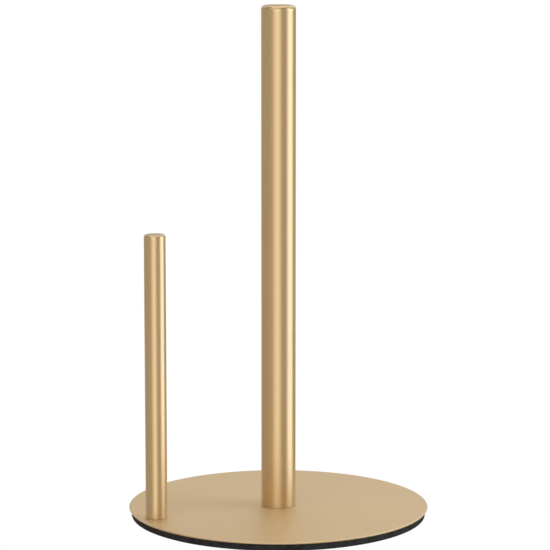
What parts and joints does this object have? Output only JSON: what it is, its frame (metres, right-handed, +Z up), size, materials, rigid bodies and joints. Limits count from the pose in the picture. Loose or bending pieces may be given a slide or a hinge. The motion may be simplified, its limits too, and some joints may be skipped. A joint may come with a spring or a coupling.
{
  "type": "paper roll holder",
  "caption": "Free-standing upright paper roll holder: a tall round spindle on a thin round base with a foam pad, and a shorter side post that stops the roll unwinding.",
  "frame": {"origin": "on the resting plane, under the middle of the round base, where the spindle's axis meets it", "axes": "+Z up along the spindle; the side post stands on the -X side of the spindle; +Y completes the right-handed frame, and the XZ plane is the plane of mirror symmetry"},
  "size_m": [0.1753, 0.1752, 0.2983],
  "materials": {
    "satin_gold": "satin",
    "zinc_steel": "satin",
    "black_foam": "matte"
  },
  "bodies": {
    "root": {"base_plate": "satin_gold", "center_tube": "satin_gold", "center_end_cap": "satin_gold", "side_tube": "satin_gold", "side_end_cap": "satin_gold", "center_threaded_plug": "zinc_steel", "center_screw": "zinc_steel", "center_washer": "zinc_steel", "side_threaded_plug": "zinc_steel", "side_screw": "zinc_steel", "side_washer": "zinc_steel", "base_pad": "black_foam"}
  },
  "joints": []
}
